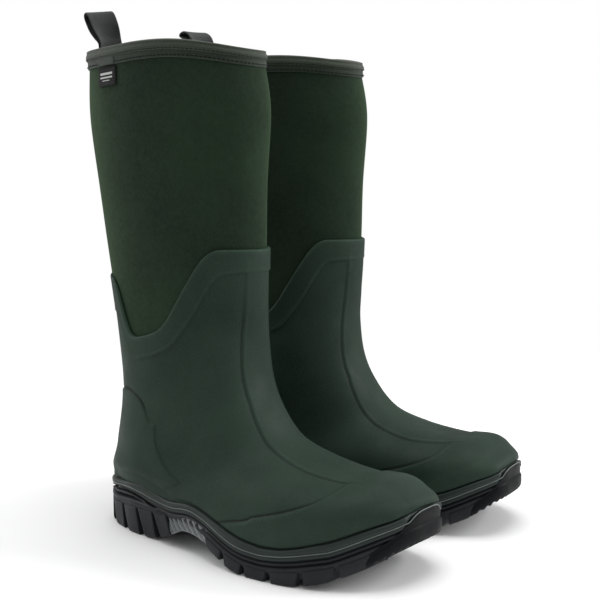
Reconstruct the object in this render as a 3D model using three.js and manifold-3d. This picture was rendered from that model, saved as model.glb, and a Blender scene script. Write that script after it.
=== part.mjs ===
// Insulated hunting boots, a pair: neoprene sock upper, moulded rubber shell, cleated rubber sole.
// Millimetres. +Z up, +X towards the toes, +Y to the wearer's left. The origin is on the ground,
// under the middle of the pair. Each boot is first built in its own frame (right boot, heel at x = 0,
// +y to the inner side), then the left one is mirrored, turned out and set beside it.
import * as THREE from 'three';
import { mergeVertices } from 'three/addons/utils/BufferGeometryUtils.js';
import Module from 'manifold-3d';

const wasm = await Module();
wasm.setup();

// ---- driving dimensions ------------------------------------------------------------------------
const GAP = 0.3;              // clearance between neighbouring pieces
const NEOPRENE = 4.5;         // thickness of the neoprene sock
const LINING = 1.5;           // fleece lining
const RUBBER = 2.0;           // moulded rubber shell
const OVERLAY = 1.2;          // toe cap, heel panel, instep strip, edge band
const FACING = 1.0;           // cloth band round the collar
const FACING_DROP = 13;       // its height
const BINDING = 1.4;          // rolled tape over the rim
const BINDING_DROP = 7;
const STIFFENER = 1.7;        // heel stiffener, in a pocket of the neoprene
const RAND = 4.5;             // height of the rolled strip above the midsole
const LOOP_WIDTH = 25;        // pull loop of flat webbing
const LOOP_HEIGHT = 31;       // from its folding line to its top
const LOOP_PLY = 1.5;
const LOOP_AXIS = 7.5;        // folding line above the rim
const LOOP_TILT = 16;         // degrees, leaning back
const INSOLE = 5;             // removable insole
const SHAFT_STEP = 50;        // height of the first section below the rim

const LEFT_TURN = 6.6;        // degrees, the left boot is turned out
const LEFT_SHIFT = [-4.8, 128.5];
const PAIR_CENTRE = [138.45, 76.45];

// Sections of the upper, from the collar to the toe tip. Each is an oval between a front or top
// point and a back or bottom point: front x z, back x z, half-width outside and inside, place of the
// widest point, fullness of the front half and of the back half.
const SECTIONS = [
  [158, 393, -24, 400, 52, 51, 0.51, 2.0, 1.8],
  [160, 346, -19, 344, 50, 49, 0.50, 2.0, 1.8],
  [154, 287, -11, 284, 48, 47, 0.50, 2.0, 1.9],
  [153, 234,   0, 228, 47, 46, 0.50, 2.0, 2.0],
  [150, 191,  12, 166, 45, 46, 0.50, 2.1, 2.1],
  [148, 163,  20, 110, 47, 48, 0.50, 2.3, 2.1],
  [151, 134,  12,  66, 49, 49, 0.50, 2.5, 2.1],
  [162, 110,   8,  38, 51, 49, 0.50, 2.6, 2.3],
  [183,  89,  54,  25, 52, 49, 0.45, 2.6, 2.4],
  [212,  76, 160,  24, 60, 55, 0.40, 2.6, 4.0],
  [247,  71, 240,  24, 56, 53, 0.40, 2.5, 4.5],
  [276,  71, 274,  30, 44, 46, 0.40, 2.4, 4.0],
  [291,  65, 294,  38, 25, 34, 0.42, 2.2, 3.0],
  [303,  55, 304,  43,  1, 18, 0.45, 2.0, 2.0],
];
// Plan outline of the sole: x, half-width outside, half-width inside, underside z, top of the rand z.
const SOLE = [
  [  0,  8,  8,  4, 37], [  4, 18, 18,  2, 36], [ 20, 32, 32,  0, 33], [ 50, 43, 41,  0, 30],
  [ 85, 48, 46,  0, 29], [110, 54, 50,  0, 29], [138, 59, 53,  0, 28], [165, 65, 56,  0, 27],
  [190, 69, 58,  0, 27], [225, 68, 60,  0, 28], [250, 62, 59,  3, 30], [272, 52, 54, 11, 35],
  [290, 39, 46, 20, 41], [302, 21, 35, 29, 48], [307,  7, 23, 34, 53],
];
const TOE = 13;                                   // last section number
const COLUMNS_HALF = [0, 22, 44, 64, 84, 104, 124, 144, 163];
const COLUMNS = [...COLUMNS_HALF, 180, ...COLUMNS_HALF.slice(1).reverse().map((a) => -a)];
const ROWS = [0, 1.5, 3, 3.6, 4.15, 4.93, 5.6, 6.4, 7.2, 8, 8.8, 9.6, 10.3, 11.2, 12, 12.6, TOE];
// Edge lines on the upper, as section number against the angle round it (0 front, 180 back).
const SHELL_EDGE = [[0, 2.92], [40, 2.9], [46, 2.96], [52, 3.1], [60, 3.37], [70, 3.72], [78, 4.0],
  [84, 4.14], [92, 4.19], [106, 4.2], [112, 4.12], [118, 3.82], [124, 3.45], [132, 3.3], [180, 3.22]];
const BAND_EDGE = [[0, 3.28], [37, 3.29], [44, 3.45], [52, 3.77], [63, 4.18], [76, 4.55], [88, 4.6],
  [106, 4.58], [115, 4.45], [122, 4.1], [130, 3.8], [180, 3.65]];
const HEEL_EDGE = [[90, 5.95], [97, 5.49], [112, 5.15], [125, 5.0], [150, 4.93], [180, 4.9]];
const TOE_EDGE = [[0, 10.33], [40, 10.25], [60, 9.97], [75, 9.65], [88, 9.3], [96, 9.0], [132, 8.7]];

// ---- small maths -------------------------------------------------------------------------------
const rad = (d) => d * Math.PI / 180;
const clamp = (x, a, b) => Math.min(b, Math.max(a, x));
const signPow = (x, e) => Math.sign(x) * Math.abs(x) ** e;

function table(rows, x, column = 1) {
  if (x <= rows[0][0]) return rows[0][column];
  for (let i = 1; i < rows.length; i++) {
    if (x <= rows[i][0]) {
      const t = (x - rows[i - 1][0]) / (rows[i][0] - rows[i - 1][0]);
      return rows[i - 1][column] + t * (rows[i][column] - rows[i - 1][column]);
    }
  }
  return rows[rows.length - 1][column];
}
const edge = (line) => (u) => table(line, Math.abs(u) > 180 ? 360 - Math.abs(u) : Math.abs(u));

function section(v) {
  const i = clamp(Math.floor(v), 0, TOE - 1), t = v - i;
  const at = (k) => SECTIONS[clamp(k, 0, TOE)];
  return SECTIONS[i].map((_, c) => {
    const a = at(i)[c], b = at(i + 1)[c];
    const ma = i === 0 ? b - a : (b - at(i - 1)[c]) / 2;
    const mb = i + 1 === TOE ? b - a : (at(i + 2)[c] - a) / 2;
    const t2 = t * t, t3 = t2 * t;
    return (2 * t3 - 3 * t2 + 1) * a + (t3 - 2 * t2 + t) * ma + (3 * t2 - 2 * t3) * b + (t3 - t2) * mb;
  });
}

// A point of the upper's own surface: u round the boot in degrees, v the section number.
function skin(u, v) {
  const [fx, fz, bx, bz, out, inn, wide, nf, nb] = section(v);
  const c = Math.cos(rad(u)), s = Math.sin(rad(u));
  const n = c > 0 ? nf : nb;
  const p = signPow(c, 2 / n), q = signPow(s, 2 / n);
  const k = p > 0 ? wide + (1 - wide) * p : wide + wide * p;
  return new THREE.Vector3(bx + (fx - bx) * k, q > 0 ? q * inn : q * out, bz + (fz - bz) * k);
}

function lift(u, v, distance) {
  const h = 2.0, w = 0.04;
  const along = skin(u, Math.min(v + w, TOE)).sub(skin(u, Math.max(v - w, 0)));
  const round = skin(u + h, v).sub(skin(u - h, v));
  const normal = round.cross(along).normalize();
  if (v > TOE - 0.01) normal.set(-1, 0, 0);
  return skin(u, v).addScaledVector(normal, -distance);
}

// ---- closed meshes -----------------------------------------------------------------------------
function solidFrom(points, faces) {
  const positions = [];
  for (const f of faces) for (const i of f) positions.push(points[i].x, points[i].y, points[i].z);
  let g = new THREE.BufferGeometry();
  g.setAttribute('position', new THREE.Float32BufferAttribute(positions, 3));
  g = mergeVertices(g, 1e-3);
  const index = [], p = g.attributes.position, ix = g.index.array;
  let volume = 0;
  const A = new THREE.Vector3(), B = new THREE.Vector3(), C = new THREE.Vector3();
  for (let i = 0; i < ix.length; i += 3) {
    const [a, b, c] = [ix[i], ix[i + 1], ix[i + 2]];
    if (a === b || b === c || a === c) continue;
    index.push(a, b, c);
    A.fromBufferAttribute(p, a); B.fromBufferAttribute(p, b); C.fromBufferAttribute(p, c);
    volume += A.dot(B.cross(C));
  }
  if (volume < 0) for (let i = 0; i < index.length; i += 3) [index[i + 1], index[i + 2]] = [index[i + 2], index[i + 1]];
  g.setIndex(index);
  return g;
}

function toManifold(geometry) {
  let g = geometry.clone();
  g.deleteAttribute('normal'); g.deleteAttribute('uv');
  g = mergeVertices(g, 1e-3);
  return new wasm.Manifold(new wasm.Mesh({
    numProp: 3, vertProperties: new Float32Array(g.attributes.position.array),
    triVerts: new Uint32Array(g.index.array) }));
}

function fromManifold(body) {
  const m = body.getMesh();
  const g = new THREE.BufferGeometry();
  const xyz = new Float32Array(m.numVert * 3);
  for (let i = 0; i < m.numVert; i++) for (let k = 0; k < 3; k++) xyz[3 * i + k] = m.vertProperties[m.numProp * i + k];
  g.setAttribute('position', new THREE.BufferAttribute(xyz, 3));
  g.setIndex(Array.from(m.triVerts));
  return g;
}
const largest = (body) => body.decompose().sort((a, b) => b.volume() - a.volume())[0];
const minus = (a, b) => a.subtract(b);

// A sheet of the upper with thickness: columns of u, rows of v clipped between two edge lines,
// between two distances from the skin. `ring` joins the last column to the first; `toe` closes the tip.
function sheet({ columns, rows = ROWS, from, to, inner, outer, ring = false, toe = false }) {
  const f = typeof from === 'function' ? from : () => from;
  const t = typeof to === 'function' ? to : () => to;
  const at = (d, u, v) => (typeof d === 'function' ? d(u, v) : d);
  const nr = rows.length + 2, nc = columns.length, points = [], faces = [];
  const all = [-1, ...rows, TOE + 1];
  const value = (u, r) => {
    const a = f(u), b = t(u);
    if (Math.abs(r - a) < 0.05) return a;
    if (Math.abs(r - b) < 0.05) return b;
    return clamp(r, a, b);
  };
  for (const d of [outer, inner]) {
    for (const r of all) for (const u of columns) points.push(lift(u, value(u, r), at(d, u, value(u, r))));
  }
  const id = (side, i, j) => side * nr * nc + i * nc + (ring ? j % nc : j);
  const quad = (a, b, c, d) => faces.push([a, b, c], [a, c, d]);
  const last = ring ? nc : nc - 1;
  for (let i = 0; i + 1 < nr; i++) {
    for (let j = 0; j < last; j++) {
      quad(id(0, i, j), id(0, i, j + 1), id(0, i + 1, j + 1), id(0, i + 1, j));
      quad(id(1, i, j), id(1, i + 1, j), id(1, i + 1, j + 1), id(1, i, j + 1));
    }
    if (!ring) {
      quad(id(0, i, 0), id(0, i + 1, 0), id(1, i + 1, 0), id(1, i, 0));
      quad(id(0, i, last), id(1, i, last), id(1, i + 1, last), id(0, i + 1, last));
    }
  }
  for (let j = 0; j < last; j++) {
    quad(id(0, 0, j), id(1, 0, j), id(1, 0, j + 1), id(0, 0, j + 1));
    const e = nr - 1;
    if (!toe) quad(id(0, e, j), id(0, e, j + 1), id(1, e, j + 1), id(1, e, j));
  }
  if (toe) {
    for (const side of [0, 1]) {
      const c = new THREE.Vector3();
      for (let j = 0; j < nc; j++) c.add(points[id(side, nr - 1, j)]);
      points.push(c.divideScalar(nc));
      for (let j = 0; j < nc; j++) {
        const a = id(side, nr - 1, j), b = id(side, nr - 1, j + 1);
        faces.push(side ? [points.length - 1, b, a] : [points.length - 1, a, b]);
      }
    }
  }
  return solidFrom(points, faces);
}

// The whole foot as one closed body, used to hollow the sole pieces and to trim the insole.
function footBody(distance, top = 4.15) {
  const rows = ROWS.filter((r) => r >= top - 0.01), points = [], faces = [], nc = COLUMNS.length;
  for (const v of rows) for (const u of COLUMNS) points.push(lift(u, v, distance));
  const id = (i, j) => i * nc + (j % nc);
  for (let i = 0; i + 1 < rows.length; i++) {
    for (let j = 0; j < nc; j++) {
      faces.push([id(i, j), id(i, j + 1), id(i + 1, j + 1)], [id(i, j), id(i + 1, j + 1), id(i + 1, j)]);
    }
  }
  for (const [i, flip] of [[0, true], [rows.length - 1, false]]) {
    const c = new THREE.Vector3();
    for (let j = 0; j < nc; j++) c.add(points[id(i, j)]);
    points.push(c.divideScalar(nc));
    for (let j = 0; j < nc; j++) {
      faces.push(flip ? [points.length - 1, id(i, j + 1), id(i, j)] : [points.length - 1, id(i, j), id(i, j + 1)]);
    }
  }
  return toManifold(solidFrom(points, faces));
}

// A slice of the sole: rings of the plan outline, each drawn in by an inset at a height that
// depends on x. The first ring is the underside and the last one the top.
function slab(levels, stations = SOLE) {
  const n = stations.length, points = [], faces = [];
  const mid = SOLE[SOLE.length - 1][0] / 2;
  const drawIn = (x, inset) => x - inset * Math.sign(x - mid) * Math.abs((x - mid) / mid) ** 6;
  for (const { inset, z } of levels) {
    const ring = [];
    for (const s of stations) ring.push([s, -(s[1] - inset)]);
    for (const s of [...stations].reverse()) ring.push([s, s[2] - inset]);
    for (const [s, y] of ring) points.push(new THREE.Vector3(drawIn(s[0], inset), y, z(s)));
  }
  const m = 2 * n, id = (l, i) => l * m + (i % m);
  for (let l = 0; l + 1 < levels.length; l++) {
    for (let i = 0; i < m; i++) {
      faces.push([id(l, i), id(l, i + 1), id(l + 1, i + 1)], [id(l, i), id(l + 1, i + 1), id(l + 1, i)]);
    }
  }
  for (const [l, flip] of [[0, true], [levels.length - 1, false]]) {
    for (let i = 0; i + 1 < n; i++) {
      const q = [id(l, i), id(l, i + 1), id(l, m - 2 - i), id(l, m - 1 - i)];
      faces.push(...(flip ? [[q[0], q[2], q[1]], [q[0], q[3], q[2]]] : [[q[0], q[1], q[2]], [q[0], q[2], q[3]]]));
    }
  }
  return toManifold(solidFrom(points, faces));
}

// A run of points (profile) drawn through a list of places, closed along the profile.
function loft(rings, closed) {
  const m = rings[0].length, n = rings.length, points = rings.flat(), faces = [];
  const id = (i, j) => (i % n) * m + (j % m);
  for (let i = 0; i < (closed ? n : n - 1); i++) {
    for (let j = 0; j < m; j++) {
      faces.push([id(i, j), id(i, j + 1), id(i + 1, j + 1)], [id(i, j), id(i + 1, j + 1), id(i + 1, j)]);
    }
  }
  if (!closed) {
    for (const [i, flip] of [[0, true], [n - 1, false]]) {
      const tri = THREE.ShapeUtils.triangulateShape(flat2(rings[i]), []);
      for (const [a, b, c] of tri) faces.push(flip ? [id(i, c), id(i, b), id(i, a)] : [id(i, a), id(i, b), id(i, c)]);
    }
  }
  return solidFrom(points, faces);
}
function flat2(ring) {                              // the ring seen in its own plane
  const a = new THREE.Vector3().subVectors(ring[1], ring[0]).normalize();
  const n = new THREE.Vector3();
  for (let i = 1; i + 1 < ring.length; i++) {
    n.add(new THREE.Vector3().subVectors(ring[i], ring[0]).cross(new THREE.Vector3().subVectors(ring[i + 1], ring[0])));
  }
  const b = new THREE.Vector3().crossVectors(n.normalize(), a);
  return ring.map((p) => new THREE.Vector2(p.clone().sub(ring[0]).dot(a), p.clone().sub(ring[0]).dot(b)));
}
const box = (sx, sy, sz, x, y, z, turn = 0) =>
  wasm.Manifold.cube([sx, sy, sz], true).rotate([0, 0, turn]).translate([x, y, z]);

// ---- the pieces of one boot --------------------------------------------------------------------
const soleX = (x, column) => table(SOLE, x, column);
const underside = (x) => soleX(x, 3);
const randTop = (x) => soleX(x, 4);
const glueLine = (x) => randTop(x) - RAND;
const treadTop = (x) => table([[0, 18], [85, 14], [150, 12], [225, 12], [250, 15], [272, 22], [307, 42]], x);
const stationsBetween = (a, b) => {
  const cut = (x) => [x, ...[1, 2, 3, 4].map((c) => soleX(x, c))];
  return [cut(a), ...SOLE.filter((s) => s[0] > a + 2 && s[0] < b - 2), cut(b)];
};
const BUMPER_START = 262;
const ARCH = [92, 138];

function rimPoint(u, distance, height) {
  if (height <= 0) return lift(u, -height / SHAFT_STEP, distance);
  return lift(u, 0, distance).add(new THREE.Vector3(0, 0, height));
}

function treads() {
  const bottom = (s) => underside(s[0]);
  const heel = slab([{ inset: 1.5, z: bottom }, { inset: 0, z: (s) => bottom(s) + 2 },
    { inset: 0, z: (s) => treadTop(s[0]) }], stationsBetween(0, ARCH[0]));
  const fore = slab([{ inset: 1.5, z: bottom }, { inset: 0, z: (s) => bottom(s) + 2 },
    { inset: 0, z: (s) => treadTop(s[0]) }], stationsBetween(ARCH[1], BUMPER_START - GAP));
  let body = heel.add(fore).add(box(ARCH[1] - ARCH[0] + 20, 44, 2.4, (ARCH[0] + ARCH[1]) / 2, 0, 12.7));
  for (const [x, turn] of [[22, 10], [42, -8], [62, 10]]) body = minus(body, box(3.5, 110, 14, x, 0, 0.2, turn));
  body = minus(body, box(60, 4, 12, 42, 0, -0.5));
  for (let k = 0; k < 5; k++) {
    const x = 160 + 20 * k, z = underside(x);
    body = minus(body, box(4, 70, 13, x, -35, z + 0.8, -14));
    body = minus(body, box(4, 70, 13, x + 4, 32, z + 0.8, 14));
  }
  for (const y of [-22, 18]) body = minus(body, box(96, 4.5, 12, 198, y, 1.2, 6));
  return largest(body);
}

function archCover() {
  let body = slab([{ inset: 2, z: () => 8.5 }, { inset: 0, z: () => 10 }, { inset: 0, z: () => 11.2 }],
    stationsBetween(ARCH[0] + GAP, ARCH[1] - GAP));
  for (let k = 0; k < 5; k++) {
    for (const [y, turn] of [[-47, 40], [44, -40]]) body = minus(body, box(2.2, 12, 8, 98 + 8.5 * k, y, 9, turn));
  }
  return largest(body);
}

function bumper(hollow) {
  const st = stationsBetween(BUMPER_START + GAP, 307);
  let body = slab([{ inset: 1.5, z: (s) => underside(s[0]) }, { inset: -1.5, z: (s) => underside(s[0]) + 4 },
    { inset: -1.0, z: (s) => randTop(s[0]) - 2 }, { inset: 0.5, z: (s) => randTop(s[0]) }], st);
  for (const [x, y, turn] of [[276, -52, 42], [289, -44, 50], [276, 62, -36], [291, 55, -48], [303, 44, -62]]) {
    body = minus(body, box(3.2, 24, 12, x, y, underside(x) + 1.5, turn));
  }
  return largest(minus(body, hollow));
}

function midsole(hollow) {
  const st = stationsBetween(0, BUMPER_START - GAP);
  const low = (s) => treadTop(s[0]) + GAP, high = (s) => glueLine(s[0]) - GAP;
  const part = (k) => (s) => low(s) + k * (high(s) - low(s));
  const body = slab([[0, 0], [0, 0.22], [1.6, 0.24], [1.6, 0.40], [0, 0.42], [0, 0.62], [1.6, 0.64],
    [1.6, 0.80], [0, 0.82], [0, 1]].map(([inset, k]) => ({ inset, z: part(k) })), st);
  return largest(minus(minus(body, hollow), box(66.6, 44.6, 5, 115, 0, 11.7)));
}

function rand(hollow) {
  const st = stationsBetween(0, BUMPER_START - GAP);
  const body = slab([{ inset: 0, z: (s) => glueLine(s[0]) }, { inset: -1, z: (s) => glueLine(s[0]) + 1.5 },
    { inset: -1, z: (s) => randTop(s[0]) - 1 }, { inset: 0.5, z: (s) => randTop(s[0]) }], st);
  return largest(minus(body, hollow));
}

function clearAbove() {                              // everything below the top of the rand
  const wide = SOLE.map((s) => [s[0], s[1] + 30, s[2] + 30]);
  wide.unshift([-12, 40, 40]);
  wide.push([325, 33, 51]);
  return slab([{ inset: 0, z: () => -5 }, { inset: 0, z: (s) => randTop(s[0]) + 0.8 }], wide);
}

function insole(room) {
  const st = [[30, 14, 14], [38, 22, 22], [60, 28, 27], [100, 28, 26], [150, 36, 30], [200, 43, 36],
    [235, 40, 38], [260, 28, 36], [274, 12, 28]];
  const floor = (s) => table([[30, 36], [128, 33.5], [190, 31.3], [240, 31.3], [274, 38]], s[0]);
  return largest(slab([{ inset: 1, z: floor }, { inset: 0, z: (s) => floor(s) + 1 },
    { inset: 0, z: (s) => floor(s) + INSOLE }], st).intersect(room));
}

function binding() {
  const a = GAP + FACING + GAP, b = a + BINDING, c = NEOPRENE + LINING + 4 * GAP, d = c + BINDING;
  const profile = [[b, -BINDING_DROP], [b, 1], [b - 1, 2], [1 - d, 2], [-d, 1], [-d, -BINDING_DROP],
    [-c, -BINDING_DROP], [-c, 0.6], [a, 0.6], [a, -BINDING_DROP]];
  return loft(COLUMNS.map((u) => profile.map(([x, h]) => rimPoint(u, x, h))), true);
}

// The pull loop: flat webbing folded into a long eye. It stands just inside the rim at the back,
// across the boot, on its folding line.
function loopFrame(turn) {
  const depth = NEOPRENE + LINING + 4 * GAP + BINDING + 2.4;
  const out = new THREE.Vector3(-Math.cos(rad(turn)), -Math.sin(rad(turn)), 0);
  const up = new THREE.Vector3(0, 0, 1);
  const base = skin(180, 0).add(new THREE.Vector3(depth, 0, LOOP_AXIS));
  return { base, out, up, tangent: new THREE.Vector3().crossVectors(up, out) };
}

function pullLoop(turn) {
  const { base, tangent, out, up } = loopFrame(turn);
  const lean = rad(LOOP_TILT), eye = 4.0, shoulder = LOOP_HEIGHT - 5;
  const outer = [], inner = [];
  const widths = [[0.4, 0.2], [6, 2.2], [12, 3.7], [19, eye], [shoulder, eye]];
  for (const [h, w] of widths) { outer.push([w + LOOP_PLY, h]); inner.push([w, Math.max(h, 2.2)]); }
  for (const a of [30, 60, 90]) {
    outer.push([(eye + LOOP_PLY) * Math.cos(rad(a)), shoulder + (LOOP_HEIGHT - shoulder) * Math.sin(rad(a))]);
    inner.push([eye * Math.cos(rad(a)),
      shoulder + (LOOP_HEIGHT - shoulder - LOOP_PLY) * Math.sin(rad(a))]);
  }
  const both = (side) => [...side, ...side.slice(0, -1).reverse().map(([w, h]) => [-w, h])];
  const place = ([w, h], y) => base.clone().addScaledVector(tangent, y)
    .addScaledVector(out, w * Math.cos(lean) + h * Math.sin(lean))
    .addScaledVector(up, h * Math.cos(lean) - w * Math.sin(lean));
  const body = (side, half) => toManifold(loft([-half, half].map((y) => both(side).map((p) => place(p, y))), false));
  return fromManifold(minus(body(outer, LOOP_WIDTH / 2), body(inner, LOOP_WIDTH / 2 + 5)));
}

function loopAnchor() {                              // the webbing's two tails, sewn in behind the rim
  const near = NEOPRENE + LINING + 4 * GAP + BINDING + 2 * GAP, far = near + 2;
  const profile = [[-near, -20], [-far, -20], [-far, 4], [-near, 4]];
  return loft([165, 172, 180, 188, 195].map((u) => profile.map(([d, h]) => rimPoint(u, d, h))), false);
}

const rubberTop = edge(SHELL_EDGE), bandEdge = edge(BAND_EDGE), heelEdge = edge(HEEL_EDGE), toeEdge = edge(TOE_EDGE);
const shellOut = GAP + RUBBER;                      // outside of the rubber shell
const overIn = shellOut + 1.5 * GAP, overOut = overIn + OVERLAY;
const inPocket = (u, v) => Math.abs(u) >= 104 && v > 4.9 && v < 7.3;
const around = (a, b, extra = []) =>                 // columns between two angles, through the back
  [...new Set([a, ...COLUMNS.map((c) => (c < 0 ? c + 360 : c)).filter((c) => c > a && c < b), ...extra, b])]
    .sort((p, q) => p - q);
const front = (a, b) => [...new Set([a, ...COLUMNS.filter((c) => c > a && c < b && c !== 180), b])]
  .sort((p, q) => p - q);

function boot(loopTurn) {
  const hollow = footBody(overIn), clear = clearAbove(), room = footBody(-(NEOPRENE + LINING + 3 * GAP + 1.5), 4.93);
  const ringSheet = (o) => sheet({ columns: COLUMNS, ring: true, ...o });
  const trim = (g) => fromManifold(largest(minus(toManifold(g), clear)));
  const wrap = (u) => (u > 180 ? u - 360 : u);
  return {
    outsole: [fromManifold(treads()), '#26272b', 0.72],
    arch_cover: [fromManifold(archCover()), '#4c5052', 0.5],
    midsole: [fromManifold(midsole(hollow)), '#2b2c31', 0.75],
    rand: [fromManifold(rand(hollow)), '#2f3d37', 0.7],
    toe_bumper: [fromManifold(bumper(hollow)), '#25262a', 0.72],
    insole: [fromManifold(insole(room)), '#56584f', 0.95],
    rubber_shell: [ringSheet({ from: rubberTop, to: TOE, inner: (u, v) => (v < 4.6 ? 2 * GAP : GAP), outer: shellOut,
      toe: true }), '#2e3c37', 0.68],
    edge_band: [ringSheet({ from: (u) => rubberTop(u) + 0.03, to: bandEdge, inner: overIn, outer: overOut }),
      '#2c3a35', 0.66],
    heel_panel: [trim(sheet({ columns: around(94, 266), from: (u) => heelEdge(wrap(u)), to: 7.6, inner: overIn,
      outer: overOut })), '#2f3e38', 0.68],
    toe_cap: [trim(sheet({ columns: front(-120, 120), from: toeEdge, to: 12.7, inner: overIn, outer: overOut })),
      '#2f3e38', 0.68],
    instep_strip: [sheet({ columns: front(-15, 20), from: (u) => bandEdge(u) + 0.04,
      to: (u) => toeEdge(u) - 0.06, inner: overIn, outer: overOut }), '#2f3e38', 0.66],
    neoprene_sock: [ringSheet({ from: 0, to: TOE, inner: -NEOPRENE,
      outer: (u, v) => (inPocket(u, v) ? -STIFFENER - GAP : 0), toe: true }), '#34463a', 0.9],
    heel_stiffener: [sheet({ columns: around(124, 236), from: 4.93, to: 6.4, inner: -STIFFENER, outer: 0 }),
      '#6d6a60', 0.8],
    lining: [ringSheet({ from: 0, to: 12.6, inner: -(NEOPRENE + 2 * GAP + LINING), outer: -(NEOPRENE + 2 * GAP),
      toe: true }),
      '#3a3d3b', 0.95],
    collar_facing: [ringSheet({ from: 0.006, to: FACING_DROP / SHAFT_STEP, inner: GAP, outer: GAP + FACING }),
      '#3b4238', 0.85],
    collar_binding: [binding(), '#3a4036', 0.85],
    back_seam_tape: [sheet({ columns: [172, 180, 188], from: FACING_DROP / SHAFT_STEP + 0.02,
      to: rubberTop(180) - 0.05, inner: GAP, outer: GAP + 0.8 }), '#2f3f35', 0.88],
    label_patch: [sheet({ columns: [-121.5, -112.25, -103], from: 0.15, to: 0.255, inner: GAP + FACING + GAP,
      outer: GAP + FACING + GAP + 0.8 }), '#3b4238', 0.85],
    label: [sheet({ columns: [-121.5, -112.25, -103], from: 0.28, to: 0.56, inner: 2 * GAP, outer: 2 * GAP + 0.9 }),
      '#141515', 0.8],
    pull_loop: [pullLoop(loopTurn), '#3c3f40', 0.9],
    pull_loop_anchor: [loopAnchor(), '#3c3f40', 0.9],
  };
}

// ---- the pair ----------------------------------------------------------------------------------
const toPair = (left) => {
  const m = new THREE.Matrix4().makeTranslation(-PAIR_CENTRE[0], -PAIR_CENTRE[1], 0);
  if (!left) return m;
  m.multiply(new THREE.Matrix4().makeTranslation(LEFT_SHIFT[0], LEFT_SHIFT[1], 0));
  m.multiply(new THREE.Matrix4().makeRotationZ(rad(LEFT_TURN)));
  return m.multiply(new THREE.Matrix4().makeScale(1, -1, 1));
};
const group = new THREE.Group();
group.name = 'insulated_hunting_boots';
for (const [side, left] of [['right', false], ['left', true]]) {
  for (const [name, [geometry, colour, roughness]] of Object.entries(boot(left ? LEFT_TURN : 0))) {
    const g = geometry.clone().applyMatrix4(toPair(left));
    if (left) {
      const ix = g.index.array;
      for (let i = 0; i < ix.length; i += 3) [ix[i + 1], ix[i + 2]] = [ix[i + 2], ix[i + 1]];
    }
    g.computeVertexNormals();
    const mesh = new THREE.Mesh(g, new THREE.MeshStandardMaterial({ color: colour, roughness, metalness: 0 }));
    mesh.name = `${side}_${name}`;
    group.add(mesh);
  }
}
export default group;
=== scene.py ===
"""Insulated hunting boots, a pair: the looks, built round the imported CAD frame.

Shapes are worked out in millimetres in one boot's own frame (right boot, heel at x = 0, +y to the
inner side, z up from the ground) and then put in the pair's frame in metres. The left boot is the
mirror image, turned out.
"""
import math

import bmesh
import bpy
import numpy as np
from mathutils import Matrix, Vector, kdtree


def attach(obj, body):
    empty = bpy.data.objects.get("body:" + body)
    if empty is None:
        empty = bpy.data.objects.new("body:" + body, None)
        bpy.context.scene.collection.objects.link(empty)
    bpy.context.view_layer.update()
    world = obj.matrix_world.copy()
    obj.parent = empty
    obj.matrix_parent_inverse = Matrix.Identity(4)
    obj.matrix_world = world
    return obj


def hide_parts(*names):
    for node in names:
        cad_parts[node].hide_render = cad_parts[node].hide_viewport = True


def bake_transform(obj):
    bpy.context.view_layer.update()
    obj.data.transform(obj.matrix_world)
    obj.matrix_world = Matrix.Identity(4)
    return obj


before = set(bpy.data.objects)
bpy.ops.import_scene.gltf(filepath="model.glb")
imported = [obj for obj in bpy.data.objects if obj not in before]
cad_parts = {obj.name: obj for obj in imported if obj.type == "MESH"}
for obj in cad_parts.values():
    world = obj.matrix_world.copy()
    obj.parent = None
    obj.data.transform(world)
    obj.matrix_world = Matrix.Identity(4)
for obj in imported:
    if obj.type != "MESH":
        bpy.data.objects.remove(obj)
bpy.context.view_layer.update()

# ---- sizes, in millimetres ---------------------------------------------------------------------
MM = 0.001
NEOPRENE = 4.5
LINING = 1.5
RUBBER = 2.3                    # outside of the moulded rubber, from the neoprene's face
OVERLAY = 1.05                  # how far the moulded panels stand out of it
SHAFT_STEP = 50
LOOP_WIDTH = 25
LOOP_PLY = 1.5
LOOP_AXIS = 10.5                # folding line above the rim at the back
RIM_RISE = 6.5                  # how far the collar stands higher at the sides
LOOP_TILT = 20
LOOP_DEPTH = 8.8                # folding line in from the upper's face, at the back
LEFT_TURN = 6.6
LEFT_SHIFT = np.array([-4.8, 128.5, 0])
PAIR_CENTRE = np.array([138.45, 76.45, 0])
SKIRT_TUCK = 6                  # how deep the shell's lower edge lies behind the rand
BUMPER_START = 284
ARCH = (101, 147)
LUG_TAPER = 3.6                 # how much shorter a lug is at its foot
BACK_TAPE = (172, 188)          # angles of the rear seam tape's edges
BACK_DEGREE = .8                # length of one degree there
TOE = 13

# front x z, back x z, half-width outside and inside, widest place, fullness front and back
SECTIONS = np.array([
    [150.5, 389, -21.5, 395.5, 51, 47.5, .51, 2.0, 1.8], [158, 346, -22.5, 344, 50, 48, .50, 2.0, 1.8],
    [154, 287, -11, 284, 48, 47, .50, 2.0, 1.9], [153, 234, 0, 228, 47, 46, .50, 2.0, 2.0],
    [150, 191, 12, 166, 45, 46, .50, 2.1, 2.1], [148, 163, 20, 110, 47, 48, .50, 2.3, 2.1],
    [151, 134, 15, 66, 49, 49, .50, 2.5, 2.1], [162, 110, 12.5, 38, 51, 49, .50, 2.6, 2.3],
    [182, 87, 54, 25, 52, 49, .45, 2.6, 2.4], [211, 74, 160, 24, 60, 55, .40, 2.6, 4.0],
    [246, 69.5, 240, 24, 56, 53, .40, 2.5, 4.5], [276, 71, 274, 30, 44, 46, .40, 2.4, 4.0],
    [291, 65, 294, 38, 25, 34, .42, 2.2, 3.0], [303, 55, 304, 43, 1, 18, .45, 2.0, 2.0]])
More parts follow.
